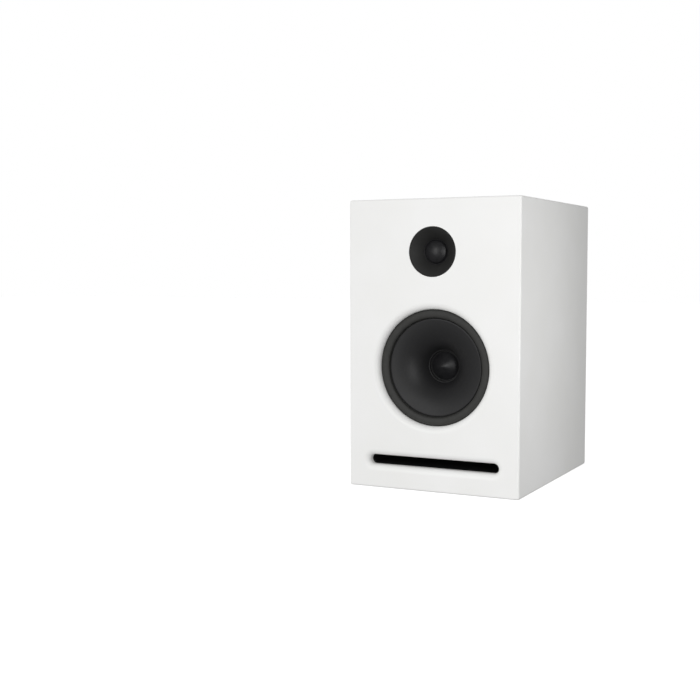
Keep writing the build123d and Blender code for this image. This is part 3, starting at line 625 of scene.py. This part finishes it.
# bullet nose: depth = tip + rise * (radius / full radius) ^ power
def makeDustCap():
    share = np.linspace(0, 1, 36)
    depth = dustCap["tipDepth"] + dustCap["rise"] * share ** dustCap["power"]
    nose = np.stack([depth, dustCap["radius"] * share], axis=1)
    line = np.vstack([nose, [(dustCap["edge"], dustCap["radius"])]])
    outline = walled(line, dustCap["wall"])
    outline[-1, 1] = 0  # the inner wall also closes on the axis
    piece = turnedPiece("wooferDustCap", outline, wooferZ, materials["cap"])
    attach(piece, "woofer_cone_assembly")
    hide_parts("woofer_dust_cap")


spider = {
    "inner": 13.4,
    "outer": 43,
    "flexes": (36, 14.5),  # outer and inner radius of the corrugations
    "waves": 5,
    "settling": 8,  # how quickly the waves die out at either edge
    "height": 0.9,
    "depth": 40.0,
    "wall": 0.5,
}


# corrugated disc: depth = middle + height * sin of the radius, flat where it is glued
def makeSpider():
    radius = np.linspace(spider["inner"], spider["outer"], 110)
    outer, inner = spider["flexes"]
    flexing = np.clip((radius - inner) / (outer - inner), 0, 1)
    fade = np.minimum(1, spider["settling"] * np.minimum(flexing, 1 - flexing))
    depth = spider["depth"] + spider["height"] * fade * np.sin(2 * np.pi * spider["waves"] * flexing)
    line = np.stack([depth, radius], axis=1)
    piece = turnedPiece("wooferSpider", walled(line, spider["wall"]), wooferZ, materials["spider"])
    flexBetween(piece, "cabinet", "woofer_cone_assembly", wooferZ, outer, inner)
    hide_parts("woofer_spider")


# a wire whose centre line is a smooth curve near the given points, made a mesh with closed ends
def makeWire(name, points, radius, material):
    data = bpy.data.curves.new(name, "CURVE")
    data.dimensions = "3D"
    data.bevel_depth = radius
    data.bevel_resolution = 3
    data.use_fill_caps = True
    data.resolution_u = 8
    line = data.splines.new("NURBS")
    line.points.add(len(points) - 1)
    line.points.foreach_set("co", np.hstack([points, np.ones((len(points), 1))]).ravel())
    line.order_u = 3
    line.use_endpoint_u = True
    holder = bpy.data.objects.new(name + "Line", data)
    tube = bpy.data.meshes.new_from_object(holder)
    bpy.data.objects.remove(holder)
    tube.name = name
    return finishPiece(name, tube, material, meshFinish["wireSharpAbove"])


tinsel = {
    "line": [(52, 42.8), (49, 35), (39, 30), (32, 19)],  # across and depth
    "apart": [5, 5, 4.5, 4],  # heights above and below the woofer's axis
    "thick": 0.6,
}


# two loose braids from the tags to the back of the cone, which bend as it travels
def makeTinselLeads():
    for name, side in (("tinselLeadUpper", 1), ("tinselLeadLower", -1)):
        points = np.array([
            (x * mm, frontY + depth * mm, wooferZ + side * height * mm)
            for (x, depth), height in zip(tinsel["line"], tinsel["apart"])
        ])
        piece = makeWire(name, points, tinsel["thick"] * mm, materials["braid"])
        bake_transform(piece)
        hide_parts("woofer_tinsel_leads")


waveguide = {
    "mouth": 23.55,
    "middle": (4.2, 17.2),
    "throat": (9.2, 12.7),
    "outside": 24.25,  # radius of the body that fills the baffle's opening
    "flange": (8.5, 12.0, 35),  # front, back, radius
    "seat": (9.6, 18.5),  # depth and radius of the rear face round the throat
    "edge": (0.45, 0.4),  # depth and size of the rounded outer edge
}


# circular arc through three points of the (depth, radius) plane
def arcThrough(a, b, c, count):
    a, b, c = (complex(*point) for point in (a, b, c))
    turn = (c - a) / (b - a)
    centre = a - (a - b) * (turn - abs(turn) ** 2) / (2j * turn.imag)
    first, last = np.angle(a - centre), np.angle(c - centre)
    sweep = (last - first + np.pi) % (2 * np.pi) - np.pi
    ring = centre + abs(a - centre) * np.exp(1j * (first + sweep * np.linspace(0, 1, count)))
    return np.stack([ring.real, ring.imag], axis=1)


# flared mouth that narrows to the throat, on a round flange
def makeWaveguide():
    horn = arcThrough((0, waveguide["mouth"]), waveguide["middle"], waveguide["throat"], count=40)
    front, back, outer = waveguide["flange"]
    seat, seatRadius = waveguide["seat"]
    edgeDepth, edgeSize = waveguide["edge"]
    outside = waveguide["outside"]
    body = [
        (seat, waveguide["throat"][1]),
        (seat, seatRadius),
        (back, seatRadius),
        (back, outer),
        (front, outer),
        (front, outside),
        (edgeDepth, outside),
    ]
    edge = arcLine(edgeDepth, outside - edgeSize, edgeSize, start=20, end=90, count=6)
    outline = np.vstack([horn, body, edge])
    piece = turnedPiece("tweeterWaveguide", outline, tweeterZ, materials["waveguideAbs"])
    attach(piece, "cabinet")
    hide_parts("tweeter_waveguide")


dome = {
    "crown": 5.3,  # depth of its highest point
    "sphere": 17.4,  # radius of the sphere that it is a part of
    "shoulder": 10.4,
    "rim": [(9.4, 10.8), (10.7, 11.0), (11.1, 11.5), (10.7, 12.0), (9.85, 12.15), (9.8, 12.5)],
    "wall": 0.25,
}


# part of a sphere out to the shoulder, then a sunk rim that is glued to the coil
def makeDome():
    lean = np.linspace(0, math.asin(dome["shoulder"] / dome["sphere"]), 36)
    depth = dome["crown"] + dome["sphere"] * (1 - np.cos(lean))
    line = np.vstack([np.stack([depth, dome["sphere"] * np.sin(lean)], axis=1), dome["rim"]])
    outline = walled(line, dome["wall"])
    outline[-1, 1] = 0  # the inner wall also closes on the axis
    piece = turnedPiece("tweeterDome", outline, tweeterZ, materials["silk"])
    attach(piece, "tweeter_dome_assembly")
    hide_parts("tweeter_dome")


tweeterEdge = {
    "depth": 9.85,
    "lip": (18.1, 14.6),  # outer and inner radius of the flat part
    "roll": (13.55, 0.8),  # radius and size
    "inner": 12.5,
    "wall": 0.25,
    "flexes": (14.4, 12.7),
}


# small half roll that dips behind the throat, between a flat lip and the dome's rim
def makeTweeterSurround():
    depth = tweeterEdge["depth"]
    roll = arcLine(depth, *tweeterEdge["roll"], start=-15, end=-165, count=20)
    lip = [(depth, radius) for radius in tweeterEdge["lip"]]
    line = np.vstack([lip, roll, [(depth, tweeterEdge["inner"])]])
    outline = walled(line, tweeterEdge["wall"])
    piece = turnedPiece("tweeterSurround", outline, tweeterZ, materials["silk"])
    flexBetween(piece, "cabinet", "tweeter_dome_assembly", tweeterZ, *tweeterEdge["flexes"])
    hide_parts("tweeter_surround")


# waves 30 mm apart, cut to half the foam's thickness, that fade out 6 mm from the edges
foamCut = {"pitch": 30, "deepest": 0.5, "steps": 8, "fade": 6}


# convoluted foam on the wall square to one axis, a sheet with a flat back:
# thickness = full * (1 - cut * wave), where wave = (1 - cos across * cos along) / 2 fades to
# nothing at the edges
def makeFoam(name, node, low, high, wall, towards):
    flat = [axis for axis in range(3) if axis != wall]
    counts = [int((high[a] - low[a]) / (foamCut["pitch"] * mm) * foamCut["steps"]) + 1 for a in flat]
    u, v = np.meshgrid(*[np.linspace(low[a], high[a], n) for a, n in zip(flat, counts)], indexing="ij")
    pace = 2 * np.pi / (foamCut["pitch"] * mm)
    wave = (1 - np.cos(pace * (u - u.mean())) * np.cos(pace * (v - v.mean()))) / 2
    rim = np.minimum.reduce([u - u.min(), u.max() - u, v - v.min(), v.max() - v]) / (foamCut["fade"] * mm)
    thick = (high[wall] - low[wall]) * (1 - foamCut["deepest"] * wave * np.clip(rim, 0, 1))
    base = low[wall] if towards > 0 else high[wall]
    front = np.empty((*u.shape, 3))
    front[..., flat[0]], front[..., flat[1]], front[..., wall] = u, v, base + towards * thick
    back = front.copy()
    back[..., wall] = base
    # both faces have the same grid, so the ring of side faces joins their outer points
    rows, columns = u.shape
    index = np.arange(rows * columns).reshape(rows, columns)
    quads = quadsBetween(index)
    ring = np.concatenate([index[0, :-1], index[:-1, -1], index[-1, :0:-1], index[:0:-1, 0]])
    after = np.roll(ring, -1)
    sides = np.stack([ring, after, after + index.size, ring + index.size], axis=1)
    points = np.concatenate([front.reshape(-1, 3), back.reshape(-1, 3)])
    faces = np.concatenate([quads, quads[:, ::-1] + index.size, sides])
    piece = meshPiece(name, points, faces, materials["foam"])
    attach(piece, "cabinet")
    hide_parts(node)


def makeLinings():
    topLow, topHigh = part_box("lining_top")
    low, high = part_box("side_linings")
    thick = topHigh.z - topLow.z
    leftHigh, rightLow = high.copy(), low.copy()
    leftHigh.x = low.x + thick
    rightLow.x = high.x - thick
    makeFoam("liningLeft", "side_linings", low, leftHigh, wall=0, towards=1)
    makeFoam("liningRight", "side_linings", rightLow, high, wall=0, towards=-1)
    makeFoam("liningTop", "lining_top", topLow, topHigh, wall=2, towards=-1)


makeSurround()
makeCone()
makeDustCap()
makeSpider()
makeTinselLeads()
print("woofer pieces made")
makeWaveguide()
makeDome()
makeTweeterSurround()
print("tweeter pieces made")
makeLinings()
print("foam linings made")


# finishes of the pieces kept from the frame
nodeFinish = {
    "lacquer": ["front_baffle", "top_panel", "bottom_panel", "left_side", "right_side", "rear_panel"],
    "mdf": ["rear_battens"],
    "sealFoam": ["rear_panel_gasket", "woofer_gasket", "tweeter_gasket", "terminal_cup_gasket"],
    "blackScrew": ["rear_panel_screws", "woofer_screws", "tweeter_screws", "terminal_cup_screws"],
    "blackAbs": [
        "port_duct_upper",
        "port_duct_lower",
        "terminal_cup",
        "post_collars",
        "tweeter_mount_ring",
    ],
    "powder": ["woofer_basket"],
    "foil": ["woofer_former"],
    "fineWinding": ["woofer_voice_coil", "tweeter_voice_coil"],
    "heavyWinding": ["woofer_inductor", "tweeter_inductor"],
    "wooferSteel": ["woofer_top_plate", "woofer_yoke"],
    "tweeterSteel": ["tweeter_top_plate", "tweeter_yoke"],
    "ferrite": ["woofer_magnet", "tweeter_magnet"],
    "fibre": ["woofer_terminals", "tweeter_terminals"],
    "gold": ["post_studs", "post_nuts", "post_washer_red", "post_washer_black"],
    "tin": ["post_solder_tabs"],
    "redCap": ["post_cap_red"],
    "blackCap": ["post_cap_black"],
    "laminate": ["crossover_board"],
    "nylon": ["board_standoffs"],
    "zincScrew": ["board_screws"],
    "filmWrap": ["woofer_capacitor", "tweeter_capacitor"],
    "cement": ["tweeter_resistor"],
    "blackWire": ["input_leads", "woofer_leads", "tweeter_leads"],
}
for finish, nodes in nodeFinish.items():
    for node in nodes:
        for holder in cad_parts[node].material_slots:
            holder.material = materials[finish]
print("finishes given to", sum(map(len, nodeFinish.values())), "pieces")


# white acrylic table that is lit a little from below; the room's own light, not the table,
# fills in the cabinet's sides
def makeFloor():
    material, tree, surface, place = startMaterial("opal_acrylic", 0.6)
    surface["Emission Color"].default_value = (1, 1, 1, 1)
    surface["Emission Strength"].default_value = studio["floorGlow"]
    tone = addNode(tree, "ShaderNodeTexNoise", {"Vector": place, "Scale": grainOf(400)})
    tones = [(0.3, "#F8F8F8"), (0.7, "#FAFAFA")]
    addNode(tree, "ShaderNodeValToRGB", {"Fac": tone}, surface["Base Color"], tones)
    mesh = bpy.data.meshes.new("floor")
    half = studio["floorSide"] / 2
    corners = [(-half, -half, 0), (half, -half, 0), (half, half, 0), (-half, half, 0)]
    mesh.from_pydata(corners, [], [(0, 1, 2, 3)])
    mesh.materials.append(material)
    floor = bpy.data.objects.new("floor", mesh)
    bpy.context.scene.collection.objects.link(floor)
    floor.visible_diffuse = False
    floor.visible_glossy = False


# room light: strength = even + direction . towards, at least a little, less in reflections,
# and plain white where the camera sees it
def makeRoom():
    world = bpy.data.worlds.new("white_room")
    bpy.context.scene.world = world
    world.use_nodes = True
    tree = world.node_tree
    room = tree.nodes["Background"]
    room.inputs["Color"].default_value = (1, 1, 1, 1)
    direction = addNode(tree, "ShaderNodeTexCoord").outputs["Generated"]
    pull = {0: direction, 1: studio["towards"]}
    slope = addNode(tree, "ShaderNodeVectorMath", pull, operation="DOT_PRODUCT").outputs["Value"]
    raised = addNode(tree, "ShaderNodeMath", {0: slope, 1: studio["even"]}, operation="ADD")
    kept = addNode(tree, "ShaderNodeMath", {0: raised, 1: studio["least"]}, operation="MAXIMUM")
    ray = addNode(tree, "ShaderNodeLightPath").outputs
    gloss = {"Value": ray["Is Glossy Ray"], "To Min": 1, "To Max": studio["reflected"]}
    dimmed = addNode(tree, "ShaderNodeMapRange", gloss)
    product = {0: kept, 1: dimmed}
    addNode(tree, "ShaderNodeMath", product, room.inputs["Strength"], operation="MULTIPLY")
    seen = addNode(tree, "ShaderNodeBackground", {"Strength": 1.0, "Color": (1, 1, 1, 1)})
    choice = {0: ray["Is Camera Ray"], 1: room, 2: seen}
    addNode(tree, "ShaderNodeMixShader", choice, tree.nodes["World Output"].inputs["Surface"])


makeCamera()
makeFloor()
makeRoom()
for name in ("key", "right", "side"):
    makeLight(name, **studio[name])
bpy.context.scene.view_settings.view_transform = "Standard"
print("camera, floor and lights made")
